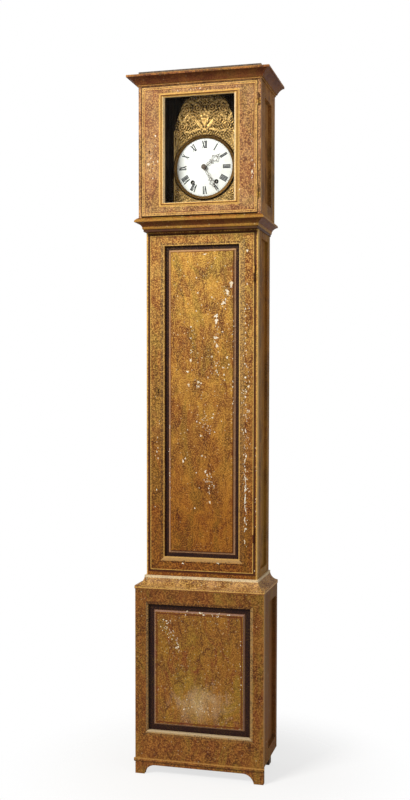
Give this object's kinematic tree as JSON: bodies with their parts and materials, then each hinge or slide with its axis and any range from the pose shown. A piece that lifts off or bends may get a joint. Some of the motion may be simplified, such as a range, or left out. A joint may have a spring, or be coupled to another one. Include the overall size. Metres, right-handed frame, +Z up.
{
  "type": "longcase clock",
  "caption": "tall painted floor clock: plinth with raised panel, narrow trunk with panelled door, square hood with glazed door, round enamel dial, wheel train, pendulum and weights",
  "frame": {"origin": "on the floor, in the middle of the overall box", "axes": "+Z up, +X to the right seen from the front, +Y towards the wall, so the dial faces -Y"},
  "size_m": [0.494, 0.278, 2.427],
  "materials": {
    "painted_wood": "oil paint grained and mottled in ochre and brown, worn, satin",
    "gilt_moulding": "painted and rubbed gold, satin",
    "raw_pine": "unpainted board, aged, matte",
    "iron": "wrought and filed iron, dark, satin",
    "cast_iron": "as cast, matte",
    "brass": "aged, satin",
    "pressed_brass": "thin sheet pressed in relief, aged, satin",
    "hand_brass": "pierced sheet, coppery, satin",
    "bell_metal": "turned bell metal, satin",
    "enamel": "white fired enamel on copper, glossy",
    "window_glass": "clear pane, glossy",
    "cord": "hemp line, matte"
  },
  "bodies": {
    "case": {"apron_with_feet": "painted_wood", "rear_feet": "raw_pine", "base_front_frame": "painted_wood", "base_front_panel": "painted_wood", "base_side_frames": "painted_wood", "base_side_panels": "painted_wood", "base_top_moulding": "painted_wood", "trunk_face_frame": "painted_wood", "trunk_side_frames": "painted_wood", "trunk_side_panels": "painted_wood", "back_board": "raw_pine", "throat_moulding": "painted_wood", "seat_board": "raw_pine", "hood_face_frame": "painted_wood", "hood_side_frames": "painted_wood", "hood_side_panels": "painted_wood", "cornice": "painted_wood", "cap_board": "raw_pine", "case_hinge_halves": "iron", "enamel_dial": "enamel", "dial_bezel": "brass", "brass_surround": "pressed_brass", "movement_cage": "iron", "pivot_bars": "iron", "movement_brackets": "iron", "bell": "bell_metal"},
    "centre": {"centre_wheel": "brass", "cannon_pinion": "brass", "minute_hand": "hand_brass"},
    "third": {"third_wheel": "brass"},
    "escape": {"escape_wheel": "brass"},
    "anchor": {"pallet_anchor": "iron"},
    "intermediate": {"intermediate_wheel": "brass"},
    "hour": {"hour_wheel": "brass", "hour_hand": "hand_brass"},
    "going_drum": {"going_barrel": "brass"},
    "going_great": {"going_great_wheel": "brass"},
    "strike_drum": {"strike_barrel": "brass"},
    "strike_great": {"strike_great_wheel": "brass"},
    "second": {"strike_second_wheel": "brass"},
    "fly": {"strike_fly": "brass"},
    "hammer": {"hammer": "iron"},
    "pendulum": {"pendulum_rod": "iron", "pendulum_bob": "brass"},
    "going_weight": {"going_weight": "cast_iron", "going_line": "cord"},
    "strike_weight": {"strike_weight": "cast_iron", "strike_line": "cord"},
    "trunk_door": {"trunk_door_frame": "painted_wood", "trunk_door_panel": "painted_wood", "trunk_door_hinge_halves": "iron", "trunk_door_lock_case": "iron"},
    "trunk_bolt": {"trunk_door_lock_bolt": "iron"},
    "hood_door": {"hood_door_frame": "painted_wood", "hood_door_glazing_moulding": "gilt_moulding", "hood_door_glass": "window_glass", "hood_door_hinge_halves": "iron", "hood_door_lock_case": "iron"},
    "hood_bolt": {"hood_door_lock_bolt": "iron"}
  },
  "joints": [
    {"name": "minute_turn", "type": "hinge", "parent": "case", "child": "centre", "pos_m": [0, 0.05, 2.111], "axis": [0, 1, 0], "continuous": true},
    {"name": "hour_turn", "type": "hinge", "parent": "case", "child": "hour", "pos_m": [0, 0.05, 2.111], "axis": [0, 1, 0], "continuous": true},
    {"name": "intermediate_turn", "type": "hinge", "parent": "case", "child": "intermediate", "pos_m": [0, 0.05, 2.087], "axis": [0, 1, 0], "continuous": true},
    {"name": "third_turn", "type": "hinge", "parent": "case", "child": "third", "pos_m": [0.0153, 0.05, 2.1375], "axis": [0, 1, 0], "continuous": true},
    {"name": "escape_turn", "type": "hinge", "parent": "case", "child": "escape", "pos_m": [0, 0.05, 2.1619], "axis": [0, 1, 0], "continuous": true},
    {"name": "going_great_turn", "type": "hinge", "parent": "case", "child": "going_great", "pos_m": [0.042, 0.05, 2.061], "axis": [0, 1, 0], "continuous": true},
    {"name": "strike_great_turn", "type": "hinge", "parent": "case", "child": "strike_great", "pos_m": [-0.042, 0.05, 2.061], "axis": [0, 1, 0], "continuous": true},
    {"name": "second_turn", "type": "hinge", "parent": "case", "child": "second", "pos_m": [-0.0602, 0.05, 2.12446], "axis": [0, 1, 0], "continuous": true},
    {"name": "fly_turn", "type": "hinge", "parent": "case", "child": "fly", "pos_m": [-0.0602, 0.05, 2.15166], "axis": [0, 1, 0], "continuous": true},
    {"name": "going_drum_turn", "type": "hinge", "parent": "case", "child": "going_drum", "pos_m": [0.042, 0.05, 2.061], "axis": [0, 1, 0], "range_deg": [-3921.2, 0]},
    {"name": "strike_drum_turn", "type": "hinge", "parent": "case", "child": "strike_drum", "pos_m": [-0.042, 0.05, 2.061], "axis": [0, 1, 0], "range_deg": [0, 3921.2]},
    {"name": "anchor_rock", "type": "hinge", "parent": "case", "child": "anchor", "pos_m": [0, 0.05, 2.19301], "axis": [0, 1, 0], "range_deg": [-3.6, 3.6]},
    {"name": "pendulum_swing", "type": "hinge", "parent": "case", "child": "pendulum", "pos_m": [0, 0.05, 2.19301], "axis": [0, 1, 0], "range_deg": [-3.5, 3.5]},
    {"name": "hammer_swing", "type": "hinge", "parent": "case", "child": "hammer", "pos_m": [-0.103, 0.0566, 2.2], "axis": [0, 0, 1], "range_deg": [-20, 0]},
    {"name": "going_weight_slide", "type": "slide", "parent": "case", "child": "going_weight", "axis": [0, 0, 1], "range_m": [0, 1.3], "deforming": ["going_line"]},
    {"name": "strike_weight_slide", "type": "slide", "parent": "case", "child": "strike_weight", "axis": [0, 0, 1], "range_m": [0, 1.3], "deforming": ["strike_line"]},
    {"name": "trunk_door_hinge", "type": "hinge", "parent": "case", "child": "trunk_door", "pos_m": [0.18425, -0.0712, 1.3], "axis": [0, 0, 1], "range_deg": [0, 105]},
    {"name": "hood_door_hinge", "type": "hinge", "parent": "case", "child": "hood_door", "pos_m": [0.20275, -0.1092, 2.15], "axis": [0, 0, 1], "range_deg": [0, 105]},
    {"name": "trunk_bolt_slide", "type": "slide", "parent": "trunk_door", "child": "trunk_bolt", "axis": [-1, 0, 0], "range_m": [0, 0.008]},
    {"name": "hood_bolt_slide", "type": "slide", "parent": "hood_door", "child": "hood_bolt", "axis": [-1, 0, 0], "range_m": [0, 0.008]}
  ],
  "couplings": [
    {"joint": "hour_turn", "follows": "minute_turn", "ratio": 0.083333},
    {"joint": "intermediate_turn", "follows": "minute_turn", "ratio": -0.33333},
    {"joint": "third_turn", "follows": "minute_turn", "ratio": -7.5},
    {"joint": "escape_turn", "follows": "minute_turn", "ratio": 60},
    {"joint": "going_great_turn", "follows": "minute_turn", "ratio": -0.083333},
    {"joint": "second_turn", "follows": "strike_great_turn", "ratio": -10.5},
    {"joint": "fly_turn", "follows": "strike_great_turn", "ratio": 78.75},
    {"joint": "going_drum_turn", "follows": "going_weight_slide", "rad_per_m": -52.632},
    {"joint": "strike_drum_turn", "follows": "strike_weight_slide", "rad_per_m": 52.632},
    {"joint": "anchor_rock", "follows": "pendulum_swing", "ratio": 1}
  ]
}
